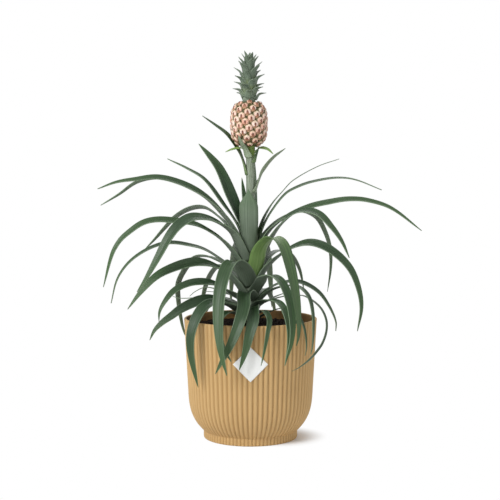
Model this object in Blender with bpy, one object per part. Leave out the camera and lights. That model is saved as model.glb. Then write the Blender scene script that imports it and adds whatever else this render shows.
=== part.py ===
"""A pineapple plant with its young fruit, growing in a nursery pot that stands in a ribbed planter.

Everything is drawn in millimetres about the planter's axis, with the origin at the centre of the
planter's flat base, +Z up, and the side the plant is looked at from towards -Y.  Each object is
turned into metres as it is finished.
"""
import math

import bmesh
import bpy
from mathutils import Matrix, Vector
from mathutils.geometry import interpolate_bezier

MM = 0.001
GAP = 0.4                      # clearance between neighbouring pieces

# Planter: a turned pot with a short foot and a rounded lower corner.
PLANTER_HEIGHT = 127.0
RIM_RADIUS = 70.0
WAIST_RADIUS = 65.6            # outer radius where the straight wall meets the rounded corner
WAIST_HEIGHT = 45.0
NECK_RADIUS = 50.4             # where the rounded corner ends above the foot
FOOT_RADIUS = 49.6
FOOT_HEIGHT = 9.0
WALL = 2.6
FLOOR = 3.0

# Nursery pot inside the planter, and the soil that fills both.
GROW_WALL = 1.2
GROW_RIM_RADIUS = 61.0
GROW_BASE_RADIUS = 44.0
GROW_RIM_HEIGHT = 113.0
DRAIN_RADIUS = 7.0
SOIL_EDGE_HEIGHT = 117.5
SOIL_CROWN_HEIGHT = 121.5

# Stem: the leafy trunk, then the slender fruit stalk.
STEM_FOOT = 84.0
TRUNK_RADIUS = 9.0
TRUNK_TOP = 198.0
STALK_RADIUS = 4.8
STALK_START = 242.0
STALK_TOP = 306.5
JOINT_LIP = 0.2

# Fruit and crown.
FRUIT_BASE = STALK_TOP + GAP
FRUIT_HEIGHT = 47.0
FRUIT_RADIUS = 18.6
CROWN_BASE = FRUIT_BASE + FRUIT_HEIGHT + GAP
FRUIT_SHIFT = -1.6             # the fruit and crown sit a little off the planter's axis, along X

# Blank label, a square standing on one corner, bent to the planter's front.
LABEL_SIDE = 25.3
LABEL_CENTRE_HEIGHT = 88.0
LABEL_THICKNESS = 0.4

LEAF_THICKNESS = 1.3
BRACT_THICKNESS = 0.8

# Leaves, oldest at the foot of the trunk last.  Each row holds the name, the heading in degrees
# (0 along +X, 90 along +Y), the blade's width, the roll towards the tip in degrees, the height
# of the foot on the trunk, and the route: (reach, height) or (reach, height, sideways) points.
LEAVES = (
    ("leaf_01", 150, 15.0, -32, 214, ((15, 234), (25, 257), (38, 283), (51, 298), (64, 310))),
    ("leaf_02", 174, 6.5, -30, 210, ((15, 226), (27, 244), (48, 272), (67, 284), (88, 294))),
    ("leaf_03", 189, 10.0, -40, 204, ((17, 218), (27, 234), (42, 250), (61, 263), (83, 272),
                                    (100, 275), (120, 273), (140, 270), (159, 263))),
    ("leaf_04", 166, 8.0, 40, 199, ((17, 214), (29, 232), (54, 256), (85, 271), (104, 274),
                                   (126, 269), (146, 256), (167, 244))),
    ("leaf_05", 156, 9.0, 30, 194, ((18, 210), (29, 225), (42, 236), (56, 242), (72, 240),
                                   (89, 231), (102, 219), (115, 206), (127, 195))),
    ("leaf_06", 210, 15.0, -30, 186, ((15, 200), (24, 217), (42, 229), (66, 234), (82, 228),
                                    (94, 216), (108, 194), (121, 174), (131, 161))),
    ("leaf_07", 194, 10.0, -40, 180, ((19, 195), (30, 208), (42, 217), (60, 226), (83, 230),
                                    (100, 231), (114, 228), (128, 219), (138, 210), (146, 196),
                                    (155, 163))),
    ("leaf_08", 180, 7.0, -30, 167, ((18, 177), (30, 187), (49, 199), (67, 204), (83, 206),
                                   (99, 203), (117, 194), (131, 182), (141, 166), (147, 142))),
    ("leaf_09", 203, 12.5, -50, 152, ((18, 164), (28, 175), (38, 181), (53, 186), (67, 187),
                                    (88, 182), (105, 174), (121, 159), (135, 142))),
    ("leaf_10", 148, 9.0, 20, 163, ((18, 173), (29, 180), (41, 185), (55, 189), (70, 187),
                                   (82, 176), (93, 158), (93, 140), (90, 121), (85, 104),
                                   (78, 95))),
    ("leaf_11", 214, 10.0, -45, 141, ((19, 150), (32, 158), (45, 165), (61, 168), (77, 167),
                                   (93, 161), (103, 152), (110, 141), (111, 130))),
    ("leaf_12", 192, 12.0, -60, 134, ((20, 140), (30, 144), (40, 147), (50, 147), (61, 144),
                                    (74, 138), (84, 131), (94, 124), (102, 116), (107, 106))),
    ("leaf_13", 224, 13.0, -25, 127, ((19, 134), (35, 143), (52, 147), (66, 143), (76, 133),
                                    (83, 118), (84, 103), (81, 86), (74, 62))),
    ("leaf_14", 171, 5.0, 0, 139, ((25, 145), (40, 148), (56, 147), (76, 146), (84, 148))),
    ("leaf_15", 161, 4.5, 0, 144, ((25, 151), (40, 156), (52, 157), (63, 152), (69, 147))),
    ("leaf_16", 181, 2.2, 0, 148, ((25, 152), (38, 154), (50, 155))),
    ("leaf_18", 262, 20.0, 0, 197, ((13, 215), (15.5, 232), (15.5, 249), (14, 262))),
    ("leaf_19", 247, 17.0, 0, 160, ((15, 170), (24, 180), (38, 188), (51, 188), (65, 179),
                                    (77, 161), (88, 134, 3), (96, 106, 9), (99, 82, 17))),
    ("leaf_20", 262, 14.0, 0, 146, ((22, 153), (35, 157), (49, 154), (62, 146, 2),
                                    (75, 133, 0), (82, 113, -7), (85, 95, -16), (87, 81, -23))),
    ("leaf_21", 272, 14.0, 0, 134, ((25, 140), (42, 143), (57, 140), (69, 132), (75, 118, -4),
                                    (77, 102, -8), (78, 84, -14))),
    ("leaf_22", 243, 11.0, 0, 123.5, ((22, 130), (40, 136), (56, 137), (70, 132), (78, 121, 4),
                                    (81, 105, 12), (81, 93, 20))),
    ("leaf_23", 286, 6.5, 0, 129, ((25, 134), (42, 139), (57, 139), (69, 133), (76, 121, -4),
                                   (79, 105, -8), (80, 89, -12))),
    ("leaf_24", 302, 16.0, 0, 170, ((16, 185), (24, 198, -3), (38, 208, -6), (56, 214, -8),
                                    (72, 209, -8), (84, 192, -8), (92, 165, -6), (97, 138, -5),
                                    (99, 120, -6), (98, 110, -8))),
    ("leaf_25", 297, 11.0, 0, 153, ((22, 163), (36, 171, -4), (54, 175, -2), (68, 169, 1),
                                    (79, 153, 3), (86, 130, 3), (89, 112, 0), (91, 98, -6),
                                    (92, 90, -9))),
    ("leaf_26", 289, 9.0, 0, 137, ((24, 145, 3), (40, 149, 7), (57, 148, 11), (70, 140, 13),
                                   (78, 125, 14), (82, 108, 12), (83, 92, 8))),
    ("leaf_27", 325, 3.6, 0, 140, ((25, 147, 2), (42, 152, 6), (58, 153, 10), (71, 149, 9),
                                   (82, 141, 9), (88, 130, 9), (90, 119, 6), (92, 108, -5),
                                   (94, 101, -20), (97, 97, -35), (100, 94, -52),
                                   (102, 92, -66), (103, 91, -78))),
    ("leaf_28", 323, 7.0, 0, 143, ((25, 156), (45, 163), (62, 163), (74, 154), (79, 138),
                                   (80, 120), (79, 104), (77, 95))),
    ("leaf_29", 315, 5.0, 0, 126, ((30, 136), (50, 141), (66, 137), (75, 127), (79, 115),
                                   (80, 103), (78, 95))),
    ("leaf_30", 25, 4.5, -20, 212, ((15, 230), (25, 246), (37, 259), (50, 271), (80, 286),
                                  (106, 294))),
    ("leaf_31", 8, 5.5, 20, 207, ((14, 223), (22, 238), (37, 257), (51, 265), (66, 270),
                                 (91, 274), (112, 272), (141, 261))),
    ("leaf_32", 352, 9.0, 40, 192, ((14, 207), (22, 220), (39, 234), (62, 244), (83, 249),
                                   (102, 252), (122, 251), (147, 243), (178, 220))),
    ("leaf_33", 333, 13.0, 25, 179, ((17, 195), (26, 212), (38, 228), (56, 240), (77, 238),
                                    (93, 224), (104, 210), (112, 194))),
    ("leaf_34", 42, 7.0, -25, 197, ((18, 210), (43, 229), (73, 237), (98, 230), (112, 213),
                                  (120, 194), (121, 172), (116, 146))),
    ("leaf_35", 343, 11.0, 45, 162, ((17, 177), (31, 192), (49, 203), (66, 207), (85, 201),
                                    (105, 184), (115, 164), (119, 142), (115, 117))),
    ("leaf_36", 358, 6.0, 40, 149, ((20, 158), (34, 164), (52, 165), (71, 155), (83, 139),
                                   (90, 123), (90, 113))),
    ("leaf_37", 25, 4.0, 0, 138, ((18, 143), (30, 148), (44, 152))),
    ("leaf_38", 55, 8.0, 0, 166, ((18, 177), (30, 187), (50, 194), (75, 190), (95, 172),
                                  (105, 148))),
    ("leaf_39", 78, 11.0, 0, 176, ((17, 188), (32, 200), (55, 204), (80, 196), (100, 176),
                                   (112, 150), (118, 124))),
    ("leaf_40", 101, 12.0, 0, 171, ((17, 184), (34, 197), (56, 202), (82, 194), (102, 175),
                                    (114, 150), (119, 126))),
    ("leaf_41", 122, 9.0, 0, 152, ((20, 163), (38, 174), (58, 178), (78, 170), (94, 153),
                                   (103, 132), (106, 112))),
    ("leaf_42", 72, 8.0, 0, 138, ((22, 148), (40, 153), (58, 150), (74, 141), (86, 128),
                                  (92, 112))),
    ("leaf_43", 95, 9.0, 0, 146, ((20, 156), (38, 163), (58, 162), (76, 150), (88, 134),
                                  (95, 116))),
    ("leaf_44", 128, 6.0, 0, 130, ((22, 138), (40, 143), (58, 142), (72, 134), (82, 122),
                                   (87, 108))),
    ("leaf_45", 82, 11.0, 0, 204, ((14, 225), (18, 250), (22, 275), (26, 298))),
    ("leaf_17", 116, 7.0, 0, 221, ((10, 236), (15, 254), (21, 274))),
)
UPRIGHT_SHEATHS = ("leaf_18",)          # leaves that stay broad almost to the tip

# Bracts on the fruit stalk, in the same form.
BRACTS = (
    ("bract_1", 172, 6.5, 0, 277, ((8, 290), (13, 303), (24, 319), (38, 330), (51, 339))),
    ("bract_2", 202, 3.6, 0, 300, ((10, 305), (20, 304), (28, 301))),
    ("bract_3", 235, 6.0, 0, 295, ((9, 303), (16, 310), (22, 318))),
    ("bract_4", 350, 5.0, 0, 300, ((10, 305), (18, 304), (24, 299))),
    ("bract_5", 318, 3.6, 0, 290, ((8, 298), (12, 307))),
    ("bract_6", 15, 9.0, 0, 258, ((9, 270), (14, 281), (25, 295), (38, 305))),
)

# Crown: tiers of short leaves drawn as pointed skirts, root and tip as (radius, height).
CROWN_TIERS = (
    ((7.5, 0.0), (13.5, 8.0)),
    ((7.2, 4.5), (14.0, 14.0)),
    ((6.8, 9.0), (15.0, 21.0)),
    ((6.2, 13.5), (16.0, 29.0)),
    ((5.4, 18.0), (15.0, 37.0)),
    ((4.4, 23.0), (11.5, 44.0)),
)
CROWN_SPIRE = ((2.6, 31.0), (2.2, 44.0), (0.0, 50.0))
CROWN_POINTS = 11

MATERIALS = {
    "planter_plastic": ((0.60, 0.41, 0.17), 0.55),
    "grow_pot_plastic": ((0.012, 0.012, 0.013), 0.45),
    "soil": ((0.018, 0.011, 0.007), 0.95),
    "leaf": ((0.045, 0.105, 0.045), 0.42),
    "bract": ((0.10, 0.19, 0.06), 0.45),
    "stalk": ((0.20, 0.30, 0.14), 0.50),
    "fruit_skin": ((0.52, 0.24, 0.14), 0.50),
    "label_paper": ((0.88, 0.88, 0.86), 0.60),
}


def clear_scene():
    for item in list(bpy.data.objects):
        bpy.data.objects.remove(item, do_unlink=True)


def make_material(name):
    colour, roughness = MATERIALS[name]
    material = bpy.data.materials.new(name)
    material.use_nodes = True
    shader = material.node_tree.nodes["Principled BSDF"]
    shader.inputs["Base Color"].default_value = (*colour, 1.0)
    shader.inputs["Roughness"].default_value = roughness
    shader.inputs["Metallic"].default_value = 0.0
    return material


def finish_object(name, shape, material_name, sharp_angle=40.0):
    """Turn a millimetre bmesh into a named object in metres."""
    bmesh.ops.scale(shape, vec=(MM, MM, MM), verts=shape.verts)
    mesh = bpy.data.meshes.new(name)
    shape.to_mesh(mesh)
    shape.free()
    mesh.shade_smooth()
    mesh.set_sharp_from_angle(angle=math.radians(sharp_angle))
    mesh.materials.append(make_material(material_name))
    item = bpy.data.objects.new(name, mesh)
    bpy.context.collection.objects.link(item)
    return item


def smoothstep(low, high, value):
    t = min(max((value - low) / (high - low), 0.0), 1.0)
    return t * t * (3.0 - 2.0 * t)


def arc(centre, radius, start, end, steps):
    """Points on an arc in the (radius, height) half plane, angles in degrees."""
    turn = [math.radians(start + (end - start) * i / steps) for i in range(steps + 1)]
    return [(centre[0] + radius * math.cos(a), centre[1] + radius * math.sin(a)) for a in turn]


def turned(profile, segments):
    """A solid of revolution about Z from a closed (radius, height) outline."""
    shape = bmesh.new()
    ring = [shape.verts.new((radius, 0.0, height)) for radius, height in profile]
    on_axis = profile[0][0] == 0.0 and profile[-1][0] == 0.0
    edges = [shape.edges.new(pair) for pair in zip(ring, ring[1:])]
    if not on_axis:
        edges.append(shape.edges.new((ring[-1], ring[0])))
    bmesh.ops.spin(shape, geom=ring + edges, cent=(0, 0, 0), axis=(0, 0, 1),
                   angle=math.tau, steps=segments, use_merge=True)
    bmesh.ops.remove_doubles(shape, verts=shape.verts, dist=0.001)
    bmesh.ops.recalc_face_normals(shape, faces=shape.faces)
    return shape


def corner_outline():
    """Outer outline of the planter from the neck, round the lower corner, to the rim."""
    start = Vector((NECK_RADIUS, FOOT_HEIGHT))
    end = Vector((WAIST_RADIUS, WAIST_HEIGHT))
    wall_slope = Vector((RIM_RADIUS - WAIST_RADIUS, PLANTER_HEIGHT - WAIST_HEIGHT)).normalized()
    out_slope = Vector((1.0, 0.95)).normalized()
    curve = interpolate_bezier(start, start + out_slope * 13.0, end - wall_slope * 17.0, end, 6)
    return [(point[0], point[1]) for point in curve]


def outer_radius(height):
    """Outer radius of the planter's straight wall."""
    part = (height - WAIST_HEIGHT) / (PLANTER_HEIGHT - WAIST_HEIGHT)
    return WAIST_RADIUS + (RIM_RADIUS - WAIST_RADIUS) * part


def make_planter():
    outside = [(FOOT_RADIUS, 0.0), (FOOT_RADIUS, FOOT_HEIGHT - 0.8)]
    outside += corner_outline()
    outside += [(outer_radius(86.0), 86.0)]
    rim = arc((RIM_RADIUS - WALL / 2, PLANTER_HEIGHT - WALL / 2), WALL / 2, 0, 180, 4)
    inside = [(outer_radius(86.0) - WALL, 86.0), (WAIST_RADIUS - WALL, WAIST_HEIGHT)]
    inside += [(radius - WALL, height + 1.6) for radius, height in corner_outline()[3:0:-1]]
    inside += [(NECK_RADIUS - WALL, FOOT_HEIGHT), (NECK_RADIUS - 2 * WALL, FLOOR), (0.0, FLOOR)]
    profile = [(0.0, 0.0)] + outside + rim + inside
    return finish_object("planter", turned(profile, 64), "planter_plastic")


def make_grow_pot():
    base = FLOOR + GAP
    outside = [(GROW_BASE_RADIUS, base), (GROW_RIM_RADIUS - 1.0, GROW_RIM_HEIGHT - 8.0),
               (GROW_RIM_RADIUS, GROW_RIM_HEIGHT - 8.0), (GROW_RIM_RADIUS, GROW_RIM_HEIGHT)]
    inside = [(GROW_RIM_RADIUS - 1.0 - GROW_WALL, GROW_RIM_HEIGHT),
              (GROW_BASE_RADIUS - GROW_WALL, base + GROW_WALL), (DRAIN_RADIUS, base + GROW_WALL)]
    profile = [(DRAIN_RADIUS, base)] + outside + inside
    return finish_object("grow_pot", turned(profile, 48), "grow_pot_plastic")


def make_soil():
    """The root ball in the nursery pot, with loose soil over its rim out to the planter."""
    floor = FLOOR + GROW_WALL + 2 * GAP
    over_rim = GROW_RIM_HEIGHT + GAP
    neck = GROW_RIM_RADIUS - 1.0 - GROW_WALL - GAP
    edge = outer_radius(over_rim) - WALL - GAP
    hole = TRUNK_RADIUS + 1.25 * GAP
    profile = [(0.0, floor), (GROW_BASE_RADIUS - GROW_WALL - GAP, floor + GAP), (neck, over_rim),
               (edge, over_rim), (edge + 0.1, SOIL_EDGE_HEIGHT), (50.0, SOIL_EDGE_HEIGHT + 1.2),
               (30.0, SOIL_EDGE_HEIGHT + 3.0), (hole + 1.0, SOIL_CROWN_HEIGHT),
               (hole, SOIL_CROWN_HEIGHT - 0.6), (hole, STEM_FOOT), (5.0, STEM_FOOT - 3.0 - GAP),
               (0.0, STEM_FOOT - 3.0 - GAP)]
    return finish_object("soil", turned(profile, 48), "soil")


def stem_radius(height):
    """Radius of the trunk and of the fruit stalk that grows from it."""
    slim = smoothstep(TRUNK_TOP, STALK_START, height)
    return TRUNK_RADIUS + (STALK_RADIUS - TRUNK_RADIUS) * slim


def make_stem():
    heights = [STEM_FOOT, 140.0, TRUNK_TOP] + [TRUNK_TOP + 11.0 * i for i in range(1, 5)]
    profile = [(0.0, STEM_FOOT - 3.0), (TRUNK_RADIUS - 4.0, STEM_FOOT - 3.0)]
    profile += [(stem_radius(height), height) for height in heights]
    for joint in (258.0, 277.0, 295.0):
        profile += [(STALK_RADIUS - JOINT_LIP, joint - 2.5), (STALK_RADIUS, joint)]
    profile += [(STALK_RADIUS, STALK_TOP), (0.0, STALK_TOP)]
    return finish_object("stem", turned(profile, 20), "stalk")


def smooth_route(points, stations):
    """Evenly spaced points on a smooth curve through a route's own points."""
    fine = []
    for i in range(len(points) - 1):
        before = points[max(i - 1, 0)]
        after = points[min(i + 2, len(points) - 1)]
        span = (points[i + 1] - points[i]).length
        lead = (points[i + 1] - before).normalized() * span / 3.0
        trail = (after - points[i]).normalized() * span / 3.0
        fine += interpolate_bezier(points[i], points[i] + lead, points[i + 1] - trail,
                                   points[i + 1], 17)[:-1]
    fine.append(points[-1])
    lengths = [0.0]
    for first, second in zip(fine, fine[1:]):
        lengths.append(lengths[-1] + (second - first).length)
    evenly = []
    k = 0
    for i in range(stations):
        target = lengths[-1] * i / (stations - 1)
        while k < len(fine) - 2 and lengths[k + 1] < target:
            k += 1
        part = (target - lengths[k]) / max(lengths[k + 1] - lengths[k], 1e-9)
        evenly.append(fine[k].lerp(fine[k + 1], min(part, 1.0)))
    return evenly


def width_along(part, upright):
    """Share of the blade's half width, from a clasping foot to a fine tip."""
    if upright:
        return (0.55 + 0.45 * smoothstep(0.0, 0.5, part)) * (1.0 - smoothstep(0.72, 1.04, part))
    foot = 1.0 + 0.22 * (1.0 - smoothstep(0.04, 0.34, part))
    return foot * max(1.0 - part ** 2.2, 0.0) ** 0.8


def blade(heading, width, roll, foot, route, thickness, stations, broad, upright=False):
    """A channelled leaf: a straight bar of even stations, then each ring moved to its place."""
    toward = Vector((math.cos(math.radians(heading)), math.sin(math.radians(heading)), 0.0))
    across = Vector((-toward.y, toward.x, 0.0))
    seat = stem_radius(foot) + GAP + thickness / 2
    points = [toward * seat + Vector((0, 0, foot))]
    for reach, height, *sideways in route:
        points.append(toward * reach + across * sum(sideways) + Vector((0, 0, height)))
    line = smooth_route(points, stations)

    shape = bmesh.new()
    sides = 8 if broad else 4
    bmesh.ops.create_cone(shape, cap_ends=True, segments=sides, radius1=1.0, radius2=1.0,
                          depth=1.0)
    long_edges = [edge for edge in shape.edges
                  if abs(edge.verts[0].co.z - edge.verts[1].co.z) > 0.5]
    bmesh.ops.subdivide_edges(shape, edges=long_edges, cuts=stations - 2)

    for vert in shape.verts:
        part = vert.co.z + 0.5
        k = min(max(round(part * (stations - 1)), 0), stations - 1)
        turn = math.atan2(vert.co.y, vert.co.x)
        share = round(math.cos(turn), 6)
        face = round(math.sin(turn), 6)
        if broad and 0.1 < abs(share) < 0.9:
            share = math.copysign(0.55, share)
        tangent = (line[min(k + 1, stations - 1)] - line[max(k - 1, 0)]).normalized()
        if k == 0:
            tangent = (line[1] - line[0]).normalized()
        side = (across - tangent * across.dot(tangent)).normalized()
        twist = math.radians(roll) * smoothstep(0.1, 0.5, part)
        side = Matrix.Rotation(twist, 3, tangent) @ side
        inward = tangent.cross(side)
        distance = line[k].xy.length
        bend = min(distance / max(tangent.z, 0.35), max(0.85 * width, 9.0))
        half = max(0.5 * width * width_along(part, upright), 0.12)
        angle = share * half / bend
        normal = inward * math.cos(angle) - side * math.sin(angle)
        skin = thickness * (1.0 - 0.45 * part) * (1.0 - share * share) * 0.5
        offset = 0.0 if abs(face) < 1e-4 else math.copysign(skin, face)
        vert.co = (line[k] + side * (bend * math.sin(angle)) + inward * (bend * (1 - math.cos(angle)))
                   + normal * offset)
    return shape


def make_leaves():
    for name, heading, width, roll, foot, route in LEAVES:
        stations = 15 if len(route) > 6 else 11
        shape = blade(heading, width, roll, foot, route, LEAF_THICKNESS, stations,
                         width > 7.5, name in UPRIGHT_SHEATHS)
        finish_object(name, shape, "leaf")


def make_bracts():
    for name, heading, width, roll, foot, route in BRACTS:
        shape = blade(heading, width, roll, foot, route, BRACT_THICKNESS, 8, width > 6.0)
        finish_object(name, shape, "bract")


def off_axis(shape):
    """Move the fruit or the crown to its place beside the planter's axis."""
    bmesh.ops.translate(shape, vec=(FRUIT_SHIFT, 0, 0), verts=shape.verts)
    return shape


def fruit_radius(part):
    """Barrel outline of the fruit, as a share of its height."""
    return FRUIT_RADIUS * max(1.0 - abs(2.0 * part - 0.96) ** 2.7, 0.0) ** 0.42


def make_fruit():
    rings = 10
    profile = [(0.0, FRUIT_BASE)]
    for i in range(rings + 1):
        part = 0.5 - 0.5 * math.cos(math.pi * i / rings)
        part = 0.004 + 0.992 * part
        profile.append((max(fruit_radius(part), 7.5), FRUIT_BASE + FRUIT_HEIGHT * part))
    profile[1] = (8.0, FRUIT_BASE)
    profile[-1] = (8.0, FRUIT_BASE + FRUIT_HEIGHT)
    profile.append((0.0, FRUIT_BASE + FRUIT_HEIGHT))
    return finish_object("fruit", off_axis(turned(profile, 24)), "fruit_skin")


def make_crown():
    """The leafy crown as one body: stacked skirts of leaves, notched between their tips."""
    profile = [(0.0, 0.0)]
    for root, tip in CROWN_TIERS:
        profile += [root, tip]
    profile += CROWN_SPIRE
    shape = turned(profile, 2 * CROWN_POINTS)
    for vert in shape.verts:
        step = round(math.atan2(vert.co.y, vert.co.x) * CROWN_POINTS / math.pi)
        for root, tip in CROWN_TIERS:
            is_tip = abs(vert.co.xy.length - tip[0]) < 0.01 and abs(vert.co.z - tip[1]) < 0.01
            if is_tip and step % 2:
                notch = Vector(tip).lerp(Vector(root), 0.5) + Vector((0.0, 1.4))
                vert.co = Vector((*(vert.co.xy.normalized() * notch.x), notch.y))
    bmesh.ops.translate(shape, vec=(0, 0, CROWN_BASE), verts=shape.verts)
    return finish_object("crown", off_axis(shape), "leaf", 60.0)


def make_label():
    """A blank square on its corner, bent round the planter's wall."""
    shape = bmesh.new()
    bmesh.ops.create_grid(shape, x_segments=6, y_segments=6, size=LABEL_SIDE / 2)
    bmesh.ops.rotate(shape, cent=(0, 0, 0), verts=shape.verts,
                     matrix=Matrix.Rotation(math.radians(45), 3, "Z"))
    faces = bmesh.ops.extrude_face_region(shape, geom=shape.faces[:])
    raised = [item for item in faces["geom"] if isinstance(item, bmesh.types.BMVert)]
    bmesh.ops.translate(shape, vec=(0, 0, LABEL_THICKNESS), verts=raised)
    for vert in shape.verts:
        height = LABEL_CENTRE_HEIGHT + vert.co.y
        radius = outer_radius(height) + GAP + vert.co.z
        turn = vert.co.x / outer_radius(height)
        vert.co = Vector((radius * math.sin(turn), -radius * math.cos(turn), height))
    bmesh.ops.recalc_face_normals(shape, faces=shape.faces)
    return finish_object("label", shape, "label_paper")


clear_scene()
make_planter()
make_grow_pot()
make_soil()
make_stem()
make_leaves()
make_bracts()
make_fruit()
make_crown()
make_label()
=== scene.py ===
import math
import random

import bmesh
import bpy
from mathutils import Matrix, Vector, noise
from mathutils.geometry import interpolate_bezier


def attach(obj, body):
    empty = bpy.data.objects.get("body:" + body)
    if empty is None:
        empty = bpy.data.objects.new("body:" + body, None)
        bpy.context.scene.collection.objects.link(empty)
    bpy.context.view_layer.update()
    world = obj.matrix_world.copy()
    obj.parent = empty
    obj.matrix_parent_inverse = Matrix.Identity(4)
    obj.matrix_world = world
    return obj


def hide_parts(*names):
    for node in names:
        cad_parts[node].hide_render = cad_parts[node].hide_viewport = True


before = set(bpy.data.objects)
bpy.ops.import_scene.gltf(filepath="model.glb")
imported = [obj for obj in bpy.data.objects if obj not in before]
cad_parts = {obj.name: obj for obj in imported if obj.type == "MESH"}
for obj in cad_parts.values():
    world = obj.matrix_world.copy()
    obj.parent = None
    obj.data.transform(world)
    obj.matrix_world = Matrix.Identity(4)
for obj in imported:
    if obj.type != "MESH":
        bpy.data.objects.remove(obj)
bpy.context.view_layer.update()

MM = 0.001
random.seed(7)

# Planter, in millimetres.
RIM_RADIUS = 70.0
PLANTER_HEIGHT = 127.0
WAIST_RADIUS, WAIST_HEIGHT = 65.6, 45.0
NECK_RADIUS, FOOT_HEIGHT, FOOT_RADIUS = 50.4, 9.0, 49.6
WALL, FLOOR = 2.6, 3.0
RIM_ROUNDING = WALL / 2
RIBS = 78
RIB_STEPS = 10
RIB_DEPTH = 1.7

# Soil, trunk and stalk, in millimetres.
SOIL_EDGE_HEIGHT, SOIL_CROWN_HEIGHT = 117.5, 121.5
SOIL_RINGS = 45
SOIL_CRUMBS = 2400
TRUNK_RADIUS, TRUNK_TOP = 9.0, 198.0
STALK_RADIUS, STALK_START, STALK_TOP = 4.8, 242.0, 306.5
GAP = 0.4

# Fruit, crown, bracts and label, in millimetres, with the bracts' extra rolls in degrees.
FRUIT_BASE, FRUIT_HEIGHT, FRUIT_RADIUS = 306.9, 47.0, 18.6
FRUIT_EYES = 92
CROWN_BASE = 354.3
CROWN_LEAVES = 34
FRUIT_SHIFT = -1.6
GOLDEN_ANGLE = math.radians(137.508)
BRACT_ROLLS = {"bract_1": -30, "bract_2": -30, "bract_4": 30, "bract_6": -35}
BRACT_FULLNESS = 1.25
LABEL_SIDE, LABEL_HEIGHT, LABEL_THICKNESS = 25.3, 88.0, 0.5

# Stage, in metres and degrees.
SHADOW_CENTRE = (0.030, 0.0, 0.0)
SHADOW_RADII = (0.024, 0.054)
CAMERA_PLACE = (-0.0005, -1.26, 0.2885)
CAMERA_TILT = 4.0924
CAMERA_LENS = 86.5

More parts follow.
